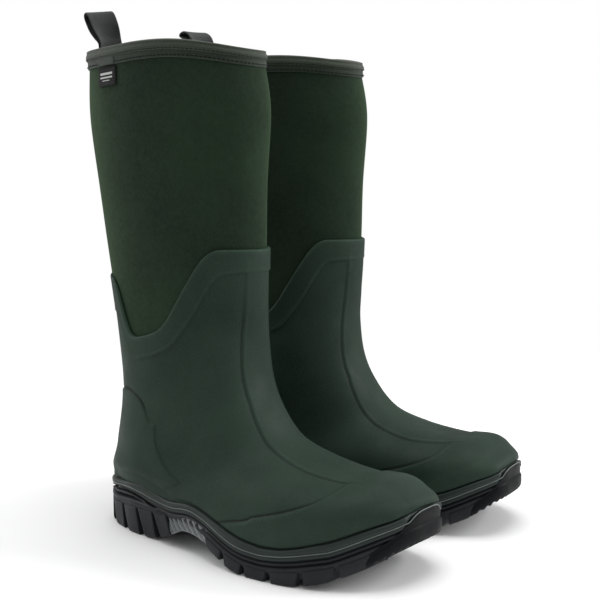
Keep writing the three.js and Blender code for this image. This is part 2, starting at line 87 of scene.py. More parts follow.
# plan outline of the sole: x, half-width outside and inside
SOLE = np.array([
    [0, 8, 8], [4, 18, 18], [20, 32, 32], [50, 43, 41], [85, 48, 46], [110, 54, 50], [138, 59, 53],
    [165, 65, 56], [190, 68.5, 58], [225, 67, 60], [250, 60.5, 59], [272, 50.5, 54], [290, 37.5, 46],
    [301, 21, 35], [305.5, 7, 23]])
# heights along the sole: x, z
RAND_TOP = [[0, 36], [10, 37], [20, 38.5], [35, 41], [50, 43], [65, 43.2], [80, 40.8], [92, 39],
            [100, 38.2], [110, 38.7], [120, 40.6], [130, 40.9], [138, 40], [150, 37.6], [165, 33.7],
            [178, 29.8], [190, 27.2], [208, 24.8], [225, 26.1], [238, 28.8], [250, 32.4], [262, 35.7],
            [272, 40], [281, 44], [290, 48], [296, 50], [302, 53], [306, 56.5]]
GLUE_LINE = [[0, 32], [10, 33], [20, 35], [35, 37], [50, 38.3], [65, 36.9], [80, 34.5], [92, 33.6],
             [100, 33.2], [110, 33.7], [120, 35.6], [130, 36.4], [138, 35.4], [150, 32.8], [165, 27.7],
             [178, 23.1], [190, 20.9], [208, 19.6], [225, 21.5], [238, 23.8], [250, 26.7], [262, 29.2],
             [272, 33.7], [281, 38.1], [290, 42.5], [296, 45.2], [302, 47.9], [306, 52]]
UNDERSIDE = [[0, 3], [4, 1], [10, .3], [20, 0], [65, 0], [80, 2], [92, 5], [100, 8], [110, 12.5],
             [118, 17], [130, 17.7], [140, 16.5], [150, 13.5], [158, 9.5], [165, 6.5], [178, 1.5],
             [190, 0], [225, 0], [238, .8], [250, 3.5], [262, 7], [272, 11.5], [281, 15.7],
             [290, 20.8], [296, 24.8], [302, 28.7], [306, 31.5]]
TREAD_TOP = [[0, 20], [20, 20], [50, 22], [92, 23.5], [105, 25], [120, 27], [138, 24.5], [152, 19.5],
             [173, 12.5], [192, 8.5], [215, 8], [241, 12], [267, 19], [285, 27], [306, 41]]
# section number against the angle round the boot (0 front, 180 back)
SHELL_EDGE = [[0, 2.92], [40, 2.9], [46, 2.96], [52, 3.1], [60, 3.37], [70, 3.72], [78, 4.0],
              [84, 4.14], [92, 4.19], [106, 4.2], [112, 4.12], [118, 3.82], [124, 3.45],
              [132, 3.3], [180, 3.22]]
BAND_EDGE = [[0, 3.28], [37, 3.29], [44, 3.45], [52, 3.77], [63, 4.18], [76, 4.55], [88, 4.6],
             [106, 4.58], [115, 4.45], [122, 4.1], [130, 3.8], [180, 3.65]]
HEEL_EDGE = [[88, 6.3], [97, 5.49], [112, 5.15], [125, 5.0], [150, 4.93], [180, 4.9]]
TOE_EDGE = [[0, 10.33], [40, 10.25], [60, 9.97], [75, 9.65], [88, 9.3], [96, 9.0], [132, 8.7]]
# angle of the instep strip's two sides against the section number
STRIP_OUTSIDE = [[3.2, -15], [5.3, -14], [6.7, -13], [7.9, -17], [9.0, -15], [10.5, -17]]
STRIP_INSIDE = [[3.2, 16], [6.7, 18], [7.7, 24], [8.4, 28], [9.4, 29], [10.3, 19]]


# ---- small maths -------------------------------------------------------------------------------
def table(rows, x, column=1):
    rows = np.asarray(rows, float)
    return np.interp(x, rows[:, 0], rows[:, column])


def rounded(rows, blur, column=1, mirror=True):
    """The table as a function whose corners are rounded over a distance blur."""
    rows = np.asarray(rows, float)
    step = blur / 8
    x = np.arange(rows[0, 0] - 4 * blur, rows[-1, 0] + 4 * blur, step)
    if mirror:
        x = np.arange(-360, 360, step)
    at = np.abs(x) if mirror else x
    at = np.where(mirror & (at > 180), 360 - at, at)
    y = np.interp(at, rows[:, 0], rows[:, column])
    y = bell_blur(y, 20, 7.0)
    return lambda q: np.interp(q, x, y)


def ease(x, a, b):
    t = np.clip((x - a) / (b - a), 0, 1)
    return t * t * (3 - 2 * t)


def unit(a):
    return a / np.maximum(np.linalg.norm(a, axis=-1, keepdims=True), 1e-9)


def bell(x, centre, width):
    return np.exp(-((x - centre) / width) ** 2)


def bell_blur(values, reach, width):
    """Values smoothed by a bell curve; the ends are held."""
    k = np.exp(-.5 * (np.arange(-reach, reach + 1) / width) ** 2)
    return np.convolve(np.pad(values, reach, mode="edge"), k / k.sum(), "valid")


def lengths(points, axis=0):
    """Length along a line of points, or along each line of a grid of them, from 0."""
    steps = np.linalg.norm(np.diff(points, axis=axis), axis=-1)
    return np.insert(np.cumsum(steps, axis), 0, 0, axis)


def weave(x, y):
    """A place in the weave for each point of a grid, from two lengths in millimetres."""
    x, y = np.broadcast_arrays(x, y)
    return np.stack([x, y, np.zeros_like(x)], -1)


def section(v):
    i = np.clip(np.floor(v).astype(int), 0, TOE - 1)
    t = (v - i)[..., None]
    a, b = SECTIONS[i], SECTIONS[i + 1]
    ma = np.where((i == 0)[..., None], b - a, (b - SECTIONS[np.maximum(i - 1, 0)]) / 2)
    mb = np.where((i + 1 == TOE)[..., None], b - a, (SECTIONS[np.minimum(i + 2, TOE)] - a) / 2)
    t2, t3 = t * t, t * t * t
    return (2 * t3 - 3 * t2 + 1) * a + (t3 - 2 * t2 + t) * ma + (3 * t2 - 2 * t3) * b + (t3 - t2) * mb


def skin(u, v):
    """A point of the upper's own surface: u round the boot in degrees, v the section number."""
    u, v = np.broadcast_arrays(np.asarray(u, float), np.asarray(v, float))
    fx, fz, bx, bz, out, inn, wide, nf, nb = np.moveaxis(section(v), -1, 0)
    c, s = np.cos(np.radians(u)), np.sin(np.radians(u))
    n = np.where(c > 0, nf, nb)
    p = np.sign(c) * np.abs(c) ** (2 / n)
    q = np.sign(s) * np.abs(s) ** (2 / n)
    k = np.where(p > 0, wide + (1 - wide) * p, wide + wide * p)
    rise = RIM_RISE * bell(u, -65, 40) + .6 * RIM_RISE * bell(u, 65, 40)
    return np.stack([bx + (fx - bx) * k, np.where(q > 0, q * inn, q * out),
                     bz + (fz - bz) * k + rise * ease(v, 1.3, .2)], -1)


def outward(u, v):
    h, w = 2.0, 0.04
    v = np.broadcast_to(v, np.broadcast(u, v).shape)
    along = skin(u, np.minimum(v + w, TOE)) - skin(u, np.maximum(v - w, 0))
    turn = skin(u + h, v) - skin(u - h, v)
    n = unit(np.cross(along, turn))
    tip = ease(v, 12.3, 12.95)[..., None]
    return unit(n * (1 - tip) + np.array([1.0, 0, 0]) * tip)


def lift(u, v, distance):
    return skin(u, v) + outward(u, v) * np.asarray(distance)[..., None]


def rim_point(u, distance, height):
    """A point near the rim, at a distance from the upper's face and a height above its edge."""
    p = lift(u, max(-height, 0) / SHAFT_STEP, distance)
    p[..., 2] += max(height, 0)
    return p


def ring_grid(start, end, steps, columns):
    """u and v of a grid round the boot, on equal steps of length from the back, and its lengths."""
    dense = np.linspace(-180, 180, 1081)
    t = np.asarray(steps)[:, None]
    v = start(dense)[None] * (1 - t) + end(dense)[None] * t
    p = skin(np.broadcast_to(dense, v.shape), v)
    run = lengths(p, 1)
    U, V, S = (np.empty((len(t), columns)) for _ in range(3))
    for i in range(len(t)):
        S[i] = np.arange(columns) / columns * run[i, -1]
        U[i] = np.interp(S[i], run[i], dense)
        V[i] = np.interp(U[i], dense, v[i])
    return U, V, S


def steps_of(n, edge=()):
    return np.unique(np.concatenate([edge, np.linspace(0, 1, n)]))


def level(value):
    return lambda u: np.full(np.shape(u), float(value))


class Line:
    """A line drawn on the upper, with distances to it in millimetres."""

    def __init__(self, u, v):
        points = skin(u, v)
        self.tree = kdtree.KDTree(len(points))
        for i, p in enumerate(points):
            self.tree.insert(p, i)
        self.tree.balance()

    def distance(self, points, near):
        out = np.full(near.shape, 99.0)
        for i in zip(*np.nonzero(near)):
            out[i] = self.tree.find(points[i])[2]
        return out


# ---- meshes ------------------------------------------------------------------------------------
def ring_faces(rows, columns, start=0, closed_rows=False):
    i, j = np.meshgrid(np.arange(rows if closed_rows else rows - 1), np.arange(columns), indexing="ij")
    k = (i + 1) % rows
    j2 = (j + 1) % columns
    return (start + np.stack([i * columns + j, i * columns + j2, k * columns + j2, k * columns + j],
                             -1)).reshape(-1, 4)


def capped_faces(rows, columns):
    """Faces of rings that lie one over another, with a lid on the first and the last."""
    last = (rows - 1) * columns
    return ring_faces(rows, columns).tolist() + [list(range(columns))[::-1],
                                                 list(range(last, last + columns))]


def patch_faces(rows, columns, start=0):
    i, j = np.meshgrid(np.arange(rows - 1), np.arange(columns - 1), indexing="ij")
    a = start + i * columns + j
    return np.stack([a, a + 1, a + columns + 1, a + columns], -1).reshape(-1, 4)


def two_sided(top, low, cloth):
    """A thin closed sheet from two grids of points; cloth is the weave's place on the top grid."""
    rows, columns = top.shape[:2]
    n = rows * columns
    faces = patch_faces(rows, columns).tolist() + patch_faces(rows, columns, n)[:, ::-1].tolist()
    border = (list(range(columns)) + [columns * i + columns - 1 for i in range(1, rows)]
              + [columns * (rows - 1) + j for j in range(columns - 2, -1, -1)]
              + [columns * i for i in range(rows - 2, 0, -1)])
    faces += [[a, b, n + b, n + a] for a, b in zip(border, border[1:] + border[:1])]
    cloth = cloth.reshape(-1, 3)
    return (np.concatenate([top.reshape(-1, 3), low.reshape(-1, 3)]), faces,
            {"cloth": np.concatenate([cloth, cloth])})


def to_pair(points, side):
    p = np.array(points, float)
    if side == "left":
        p[..., 1] *= -1
        c, s = math.cos(math.radians(LEFT_TURN)), math.sin(math.radians(LEFT_TURN))
        p = np.stack([c * p[..., 0] - s * p[..., 1], s * p[..., 0] + c * p[..., 1], p[..., 2]], -1)
        p += LEFT_SHIFT
    return (p - PAIR_CENTRE) * MM


def piece(side, name, shape, material, slot, replaces=(), body="boot", bevel=0, angle=None):
    """A Blender object from (points in mm, faces, fields); fields are numbers kept on the points."""
    points, faces, fields = shape
    points = np.asarray(points, float).reshape(-1, 3)
    mesh = bpy.data.meshes.new(f"{side}_{name}")
    mesh.from_pydata(to_pair(points, side).tolist(), [], [list(map(int, f)) for f in faces])
    for key, values in fields.items():
        values = np.asarray(values, float)
        kind = "FLOAT_VECTOR" if values.ndim > 1 and values.shape[-1] == 3 else "FLOAT"
        layer = mesh.attributes.new(key, kind, "POINT")
        layer.data.foreach_set("vector" if kind == "FLOAT_VECTOR" else "value", values.ravel())
    bm = bmesh.new()
    bm.from_mesh(mesh)
    bmesh.ops.recalc_face_normals(bm, faces=bm.faces)
    bm.to_mesh(mesh)
    bm.free()
    mesh.polygons.foreach_set("use_smooth", [True] * len(mesh.polygons))
    if angle:
        mesh.set_sharp_from_angle(angle=math.radians(angle))
    obj = bpy.data.objects.new(f"{side}_{name}", mesh)
    bpy.context.scene.collection.objects.link(obj)
    mesh.materials.append(material)
    if bevel:
        m = obj.modifiers.new("edges", "BEVEL")
        m.width, m.segments, m.limit_method = bevel * MM, 2, "ANGLE"
        m.angle_limit = math.radians(34)
    if body:
        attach(obj, f"{side}_{body}")
    if replaces:
        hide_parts(*[f"{side}_{n}" for n in replaces])
    return obj


def join(*shapes):
    points, faces, fields, n = [], [], {}, 0
    for p, f, g in shapes:
        p = np.asarray(p, float).reshape(-1, 3)
        points.append(p)
        faces += [[int(i) + n for i in face] for face in f]
        for key, values in g.items():
            fields.setdefault(key, []).append(np.asarray(values, float))
        n += len(p)
    whole = {k: np.concatenate([x.reshape(-1, 3) if x.ndim > 1 and x.shape[-1] == 3 else x.ravel()
                                for x in v]) for k, v in fields.items()}
    return np.concatenate(points), faces, whole


def closed_ring_sheet(outer, inner, fields):
    """A tube's wall from two grids of points with the same columns, closed at the toe."""
    (ro, c), ri = outer.shape[:2], inner.shape[0]
    points = np.concatenate([outer.reshape(-1, 3), inner.reshape(-1, 3)])
    n = ro * c
    faces = [ring_faces(ro, c), ring_faces(ri, c, n)[:, ::-1]]
    j = np.arange(c)
    k = (j + 1) % c
    faces.append(np.stack([j, n + j, n + k, k], -1))
    lists = [f for block in faces for f in block.tolist()]
    last_out, last_in = (ro - 1) * c, n + (ri - 1) * c
    lists += [list(range(last_out, last_out + c)), list(range(last_in, last_in + c))[::-1]]
    return points, lists, fields


# ---- the boot's pieces -------------------------------------------------------------------------
NU = 400
NV = 380
shell_edge = rounded(SHELL_EDGE, 2.5)
band_edge = rounded(BAND_EDGE, 3)
heel_edge = rounded(HEEL_EDGE, 4)
toe_edge = rounded(TOE_EDGE, 4)


def cloth_of(*faces):
    """Length round and length along, in millimetres, for the weave; from (lengths round, points)."""
    return {"cloth": np.concatenate([weave(S, lengths(points)).reshape(-1, 3)
                                     for S, points in faces])}


def dents(p, size):
    """Slow unevenness of a moulded or sewn surface, from -1 to 1."""
    x, y, z = (p[..., i] / size for i in range(3))
    return (np.sin(x * 1.3 + 2 * np.sin(z * .7)) * np.cos(z * 1.1 + y)
            + np.sin(y * 2.1 - z * .9 + x)) / 2


# ---- outline of the sole -----------------------------------------------------------------------
def outline(n):
    """The sole's plan outline as a smooth closed curve of n points, from the heel, outside first."""
    corners = np.concatenate([np.stack([SOLE[:, 0], -SOLE[:, 1]], -1),
                              np.stack([SOLE[::-1, 0], SOLE[::-1, 2]], -1)])
    closed = np.concatenate([corners, corners[:1]])
    run = lengths(closed)
    s = np.linspace(0, run[-1], 4 * n, endpoint=False)
    p = np.stack([np.interp(s, run, closed[:, k]) for k in range(2)], -1)
    width = 5.5 / (run[-1] / (4 * n))
    k = np.arange(-int(3 * width), int(3 * width) + 1)
    w = np.exp(-0.5 * (k / width) ** 2)
    w /= w.sum()
    m = len(k) // 2
    p = np.stack([np.convolve(np.concatenate([p[-m:, c], p[:, c], p[:m, c]]), w, "valid")
                  for c in range(2)], -1)
    p = p[::4]
    t = np.roll(p, -1, 0) - np.roll(p, 1, 0)
    normal = unit(np.stack([t[:, 1], -t[:, 0]], -1))
    return p, normal


NO = 520
EDGE, EDGE_NORMAL = outline(NO)
underside = rounded(UNDERSIDE, 3, mirror=False)
rand_top = rounded(RAND_TOP, 3, mirror=False)
tread_top = rounded(TREAD_TOP, 4, mirror=False)
glue_line = rounded(GLUE_LINE, 3, mirror=False)


def half_width(x, side):
    """Distance of the outline from the middle line, outside (-1) or inside (+1)."""
    chain = EDGE[np.sign(EDGE[:, 1]) == side]
    order = np.argsort(chain[:, 0])
    return np.interp(x, chain[order, 0], np.abs(chain[order, 1]))


def rings_body(rings, field=None):
    """A closed body from rings round the outline, its ends drawn in to the middle line."""
    rings = np.array(rings)
    low, high = [], []
    for source, bag in ((rings[0], low), (rings[-1], high)):
        spine = source.copy()
        spine[:, 0] = np.clip(source[:, 0], 30, 275)
        spine[:, 1] = 0
        for k in (.06, .35, .7, .985):
            bag.append(source + (spine - source) * k)
    grid = np.array(low[::-1] + list(rings) + high)
    fields = {key: np.concatenate([np.repeat(value[:1], 4, 0), value, np.repeat(value[-1:], 4, 0)]).ravel()
              for key, value in (field or {}).items()}
    return grid, capped_faces(*grid.shape[:2]), fields


def ring_at(offset, z, base=None, normal=None):
    base = EDGE if base is None else base
    normal = EDGE_NORMAL if normal is None else normal
    xy = base + normal * np.broadcast_to(offset, len(base))[:, None]
    return np.concatenate([xy, np.broadcast_to(z, len(base))[:, None]], 1)


def meet_sole(points):
    """The upper's lower wall drawn out to the edge of the sole, so that it sits flush on the rand."""
    tree = kdtree.KDTree(NO)
    for k, (x, y) in enumerate(EDGE):
        tree.insert((x, y, 0), k)
    tree.balance()
    out, groove = points.copy(), np.zeros(points.shape[:2])
    top = rand_top(points[..., 0])
    tuck = glue_line(points[..., 0])
    pull = ease(points[..., 2], top + 17, top + .5)
    for i in zip(*np.nonzero(pull > 0)):
        p = points[i]
        k = tree.find((p[0], p[1], 0))[1]
        seam = float(bell(p[2], top[i] + .4, 1.1))
        inside = (EDGE[k] - p[:2]) @ EDGE_NORMAL[k] - .4 - 1.5 * seam - 1.1 * ease(p[0], 296, 302)
        if -9 < inside < 16:
            hidden = SKIRT_TUCK * ease(p[2], tuck[i] + .8, tuck[i] - 1.5)
            out[i][:2] += EDGE_NORMAL[k] * (inside - hidden) * pull[i]
            groove[i] = seam
    return out, groove


def shell():
    top_rows = [.0006, .0013, .0021, .003, .0042]         # closer rows, for the rolled top edge
    U, V, _ = ring_grid(shell_edge, level(TOE), steps_of(NV, top_rows), NU)
    p = skin(U, V)
    around = np.arange(-180, 180, .25)
    wrapped = np.abs(U)

    def step_at(u, v, side, near):
        d = Line(u, v).distance(p, near)
        return np.where(side, d, -d)

    top = Line(around, shell_edge(around)).distance(p, V - shell_edge(U) < .25)
    band = step_at(around, band_edge(around), V < band_edge(U), np.abs(V - band_edge(U)) < .3)
    back = np.concatenate([np.arange(88, 180, .25), np.arange(-180, -88, .25)])
    heel = step_at(back, heel_edge(back), (V > heel_edge(U)) & (wrapped > 88),
                   (np.abs(V - heel_edge(U)) < .5) & (wrapped > 70))
    ahead = np.arange(-132, 132, .25)
    cap_line = Line(ahead, toe_edge(ahead))
    cap = np.where(V > toe_edge(U), 1, -1) * cap_line.distance(
        p, (np.abs(V - toe_edge(U)) < .6) & (wrapped < 140))
    rows = np.arange(3.1, 10.6, .01)
    left, right = table(STRIP_OUTSIDE, rows), table(STRIP_INSIDE, rows)
    within = (U > table(STRIP_OUTSIDE, V)) & (U < table(STRIP_INSIDE, V)) & (wrapped < 60)
    near = (wrapped < 60) & (V > 3) & (V < 10.8)
    side = np.minimum(Line(left, rows).distance(p, near), Line(right, rows).distance(p, near))
    side = np.where(within, side, -side)

    thin = ease(wrapped, 112, 150) * ease(V, 6, 4.5)      # the rubber hugs the calf at the back
    d = RUBBER - 1.3 * thin + .12 * dents(p, 26)
    soft_band = OVERLAY * (1 - .5 * thin) * ease(band, -.9, .9)
    soft_heel = .95 * ease(heel, -1.0, 1.0) * (V < 8)
    fade = ease(wrapped, 20, 36)                # the cap's edge is plain only at its sides
    soft_cap = ease(cap, -1.4, 1.4)
    strip_end = ease(V, 10.9, 10.2)
    soft_strip = ease(side, -1.6, 1.6) * ease(V, 3.1, 3.25) * strip_end
    d = d + np.maximum.reduce([soft_band, soft_heel, soft_cap, soft_strip])
    crease_and_shade = (.62 * bell(heel, -.9, .75) * (V < 8) * ease(wrapped, 90, 100)
              + .5 * bell(cap, -1.1, .8) * ease(wrapped, 34, 70) * ease(wrapped, 150, 125)
              + .3 * bell(side, -1.2, .9) * strip_end * ease(V, 3.5, 4.5)
              + .12 * bell(band, -.8, .6))
    d = d - crease_and_shade
    ridge = .22 * bell(band, 1.4, 1.0) + .2 * bell(cap, 1.6, 1.2) * fade
    d = d + ridge
    roll = np.clip(top / 1.5, 0, 1)
    d = .7 + (d - .7) * np.sqrt(1 - (1 - roll) ** 2)
    outer, groove = meet_sole(lift(U, V, d))
    ui, vi, _ = ring_grid(shell_edge, level(TOE), steps_of(60), NU)
    inner = lift(ui, vi, .4)
    zeros = np.zeros(inner.shape[0] * NU)
    # painted highlight along the rolled top edge, the raised ridges and the instep strip's edges
    edge_light = bell(top, 0, 2.2)
    # crease_and_shade also marks where the rubber gets painted shade: the creases and the groove above the
    # rand
    fields = {"crease_and_shade": np.concatenate([np.clip(crease_and_shade / .45 + groove, 0, 1).ravel(), zeros]),
              "ridge_highlight": np.concatenate([np.clip(edge_light + 2.2 * ridge + .5 * bell(side, 1.6, 1.3)
                                              * strip_end, 0, 1).ravel(), zeros])}
    return closed_ring_sheet(outer, inner, fields)


def sock():
    steps = np.unique(np.concatenate([np.linspace(0, .42, NV // 2), np.linspace(.42, 1, 50)]))
    U, V, S = ring_grid(level(0), level(TOE), steps, NU)
    p = skin(U, V)
    swell = .35 * dents(p, 34) + .5 * ease(V, .2, 1.2) * ease(V, 3.6, 2.6)
    outer = lift(U, V, swell * ease(V, 4.4, 3.6) - .1)
    ui, vi, si = ring_grid(level(0), level(TOE), steps_of(50), NU)
    inner = lift(ui, vi, -NEOPRENE)
    return closed_ring_sheet(outer, inner, cloth_of((S, outer), (si, inner)))


def lining():
    U, V, S = ring_grid(level(0), level(12.6), steps_of(160), NU)
    p = skin(U, V)
    nap = .35 * np.sin(S * 1.9 + 3 * np.sin(V * 31)) * np.sin(V * 97 + 2 * np.sin(S * .8))
    inner_face = lift(U, V, -(NEOPRENE + .6 + LINING) + .25 * nap)
    ui, vi, si = ring_grid(level(0), level(12.6), steps_of(50), NU)
    outer_face = lift(ui, vi, -(NEOPRENE + .6))
    return closed_ring_sheet(inner_face, outer_face, cloth_of((S, inner_face), (si, outer_face)))


def rim_sweep(profile):
    """A closed profile of (distance, height) drawn round the rim."""
    U, _, S = ring_grid(level(0), level(.01), [0.0], NU)
    grid = np.stack([rim_point(U[0], d, h) for d, h in profile])
    cloth = weave(S[0], lengths(np.array(profile))[:, None])
    return (grid, ring_faces(len(profile), NU, closed_rows=True).tolist(),
            {"cloth": cloth.reshape(-1, 3)})


def facing():
    low, high, thin, thick = -13.2, -.2, .25, 1.35
    profile = [(thin, high), (thick - .5, high), (thick, high - .5)]
    profile += [(thick + .28 * math.sin(math.pi * k / 12), high - .5 - (high - low - 1) * k / 12)
                for k in range(1, 12)]
    profile += [(thick, low + .6), (thick - .25, low + .15), (thick - .7, low), (thin, low)]
    return rim_sweep(profile)


def binding_shape():
    a, b = 1.45, 3.15                                   # the outer leg's two faces
    c, d = -(NEOPRENE + LINING + 1.1), -(NEOPRENE + LINING + 2.7)
    drop, profile = -6.6, []
    for k in range(0, 9):                               # outer leg, a rolled bead
        t = k / 8
        profile.append((b - .75 + .8 * math.sin(math.pi * min(1, t * 1.15)), drop + (-drop + .2) * t))
    for k in range(1, 12):                              # over the rim
        t = math.pi * k / 12
        mid, half = (b - .3 + d) / 2, (b - .3 - d) / 2
        profile.append((mid + half * math.cos(t) * (1 - .12 * math.sin(t)),
                        .2 + 2.4 * math.sin(t) ** .75))
    profile += [(d, .2 + (drop - .2) * k / 5) for k in range(0, 6)]
    profile += [(c, drop), (c, -1), (c + 1.5, .1), (a - 1.5, .1), (a, -1), (a, drop)]
    return rim_sweep(profile)


def stitches(path, normals, length, gap, radius):
    """Separate sewn stitches along a line: short rounded bars, half sunk."""
    run = lengths(path)
    starts = np.arange(0, run[-1] - length, length + gap)
    shapes = []
    for s in starts:
        at = s + np.linspace(0, length, 5)
        c = np.stack([np.interp(at, run, path[:, k]) for k in range(3)], -1)
        n = unit(np.stack([np.interp(at, run, normals[:, k]) for k in range(3)], -1))
        t = unit(np.gradient(c, axis=0))
        side = unit(np.cross(n, t))
        bulge = np.array([-.5, .75, 1, .75, -.5])[:, None] * radius * .45
        thick = np.array([.35, .9, 1, .9, .35])[:, None, None] * radius
        ang = np.linspace(0, 2 * np.pi, 7)[:-1]
        ring = (c + n * bulge)[:, None] + thick * (side[:, None] * np.cos(ang)[None, :, None]
                                                   + n[:, None] * np.sin(ang)[None, :, None] * .8)
        shapes.append((ring, capped_faces(5, 6), {}))
    return join(*shapes)


def row_round(height, distance):
    """A line round the boot at a height from the rim, and the surface's normals along it."""
    u = np.linspace(-180, 180, 720)
    v = -height / SHAFT_STEP
    return lift(u, v, distance), outward(u, v)


def cloth_patch(u0, u1, v0, v1, inner, thick, nu=26, nv=30, curl=0.0, wave=0.0):
    """A small sewn patch: rounded edges, its face lifted a little towards the free end."""
    tu, tv = np.linspace(0, 1, nu), np.linspace(0, 1, nv)
    A, B = np.meshgrid(tu, tv)
    U, V = u0 + (u1 - u0) * A, v0 + (v1 - v0) * B
    base = skin(U, V)
    width = np.linalg.norm(np.diff(base, axis=1), axis=2).sum(1).mean()
    height = np.linalg.norm(np.diff(base, axis=0), axis=2).sum(0).mean()
    edge = np.minimum.reduce([A * width, (1 - A) * width, B * height, (1 - B) * height])
    round_off = np.sqrt(1 - (1 - np.clip(edge / .5, 0, 1)) ** 2)
    lifted = inner + curl * B ** 2 + wave * np.sin(A * np.pi) * B
    top = lift(U, V, lifted + thick * (.35 + .65 * round_off))
    bottom = lift(U, V, lifted + thick * .35 * (1 - round_off))
    return two_sided(top, bottom, weave(A * width, B * height)), (width, height)


def seam_tape():
    left, right = BACK_TAPE
    U, V = np.meshgrid(np.linspace(left, right, 17), np.linspace(.28, shell_edge(180.0) - .02, 90))
    edge = np.minimum(U - left, right - U) * BACK_DEGREE
    top = lift(U, V, .35 + .75 * np.sqrt(1 - (1 - np.clip(edge / 1.0, 0, 1)) ** 2))
    return two_sided(top, lift(U, V, .1), weave(U * BACK_DEGREE, lengths(top)))


def pull_loop(turn, curl, roll, twist):
    """Webbing from inside the collar, up, over and back down, leaning back: one closed strap."""
    base = skin(180.0, 0.0) + np.array([LOOP_DEPTH, 0, LOOP_AXIS])
    a = math.radians(turn)
    out, up = np.array([-math.cos(a), -math.sin(a), 0]), np.array([0, 0, 1.0])
    across = np.cross(up, out)
    lean = math.radians(LOOP_TILT)
    line = [(-1.2, -22), (-1.2, -16), (-1.2, -8), (-1.2, -3)]
    line += [(-1.6, 0), (-2.2, 4), (-3.2, 10), (-3.9, 17), (-4.1, 23)]
    line += [(-4.1 * math.cos(t), 25 + 4.6 * math.sin(t)) for t in np.linspace(.25, math.pi - .25, 9)]
    line += [(4.1, 23), (3.9, 17), (3.1, 10), (2.0, 4), (1.0, 0)]
    line += [(.4, -3), (.4, -8), (.4, -16), (.4, -22)]
    line = np.array(line, float)
    run = lengths(line)
    s = np.linspace(0, run[-1], 110)
    w, h = np.interp(s, run, line[:, 0]), np.interp(s, run, line[:, 1])
    w, h = bell_blur(w, 6, 2.4), bell_blur(h, 6, 2.4)
    high = np.clip(h + 2, 0, None)
    angle = lean * np.clip((h + 4) / 8, 0, 1) + curl * (high / 32) ** 2
    W = w * np.cos(angle) + high * np.sin(angle)
    H = np.minimum(h, -2) + high * np.cos(angle) - w * np.sin(angle) * (high > 0)
    centre = base + np.outer(W, out) + np.outer(H, up)
    tangent = unit(np.gradient(centre, axis=0))
    normal = unit(np.cross(across, tangent))
    y = np.linspace(-LOOP_WIDTH / 2, LOOP_WIDTH / 2, 29)
    edge = np.clip((LOOP_WIDTH / 2 - np.abs(y)) / .8, 0, 1)
    half = LOOP_PLY / 2 * (.45 + .55 * np.sqrt(1 - (1 - edge) ** 2)) * .92
    hug = 4.2 * (y / 12.5) ** 2 * (1 - .35 * np.clip(high / 32, 0, 1))[:, None]     # curved like the rim
    spread = centre[:, None] + across * y[None, :, None] - out * hug[..., None]
    top = spread + normal[:, None] * half[None, :, None]
    low = spread - normal[:, None] * half[None, :, None]
    r, t = (np.radians(k) * ease(high, 0, 20)[:, None] for k in (roll, twist))
    for sheet in (top, low):                    # each loop stands a little askew
        q = sheet - base
        o, a, h = q @ out, q @ across, q @ up
        o, a = o * np.cos(t) - a * np.sin(t), o * np.sin(t) + a * np.cos(t)
        a, h = a * np.cos(r) - h * np.sin(r), a * np.sin(r) + h * np.cos(r)
        sheet[:] = base + o[..., None] * out + a[..., None] * across + h[..., None] * up
    return two_sided(top, low, weave(y + LOOP_WIDTH / 2, s[:, None])), base, run[-1]


def rand_shape():
    x = EDGE[:, 0]
    g, t = glue_line(x), rand_top(x)
    toe = ease(x, 301.5, 304.5)
    profile = [(-9, g), (.1, g), (.7, g + .4), (1.15, g + 1.3), (1.25, (g + t) / 2), (1.05, t - 1.5),
               (.6, t - .7), (-.1, t - .3), (-9, t - .3)]
    grid = np.stack([ring_at(o - 2.6 * toe, z) for o, z in profile])
    return grid, ring_faces(len(profile), NO, closed_rows=True).tolist(), {}


def glint_bead_shape():
    """A thin light bead under the rand and over the toe bumper: a painted highlight standing for the glint
    along the seam.
    """
    x = EDGE[:, 0]
    toe = ease(x, 301.5, 304.5)
    z = glue_line(x) * (1 - toe) + (bumper_top(x) + .2) * toe
    offset = .75 + .15 * toe
    grid = np.stack([ring_at(offset + .36 * math.cos(t), z + .42 * math.sin(t))
                     for t in np.linspace(0, 2 * math.pi, 9)[:-1]])
    return grid, ring_faces(8, NO, closed_rows=True).tolist(), {}


def midsole_shape():
    x = EDGE[:, 0]
    low, high = tread_top(x) - .5, glue_line(x) + .2
    t = np.clip((x - 3) / 88, 0, 1)
    lens = 4.6 * np.sin(np.pi * t ** .62) * (x > 3)
    plain = ease(x, 84, 100) + (x < 1)
    toe = ease(x, 300, 304)
    rings, field, deep = [], [], []
    for k in np.linspace(0, 1, 46):
        z = low + k * (high - low)
        down = high - z                              # distance under the glue line
        groove = (1.5 * bell(down, 4.6, .75)
                  + 1.7 * bell(down, 8.2, .9) * (high - low > 9.5))
        belly = .55 * np.sin(np.pi * np.clip(down / 5.2, 0, 1)) + .35 * np.sin(
            np.pi * np.clip((down - 5.2) / 3, 0, 1))
        hollow = 4.2 * ease(lens - np.abs(down - 6.2), 0, 1.3) * (lens > .3)
        rib = .9 * bell(down, 6.2 + lens + .9, .8) * (1 - plain) * (lens > .3)
        island = 2.6 * ease(lens * .45 - np.abs(down - 7.4), 0, 1.2) * (lens > .3)
        rings.append(ring_at(belly - groove * plain - hollow + rib + island - 1.5 * toe, z))
        # how much painted shade the grooves and the heel recess get
        deep.append(np.clip(hollow / 4.2 - island / 3.5 + groove * plain / 1.5, 0, 1))
        field.append(ease(down, 5.4, 4.4) * (.35 + .65 * ease(x, 70, 110)))
    return rings_body(rings, {"upper": np.array(field), "crease_and_shade": np.array(deep)})


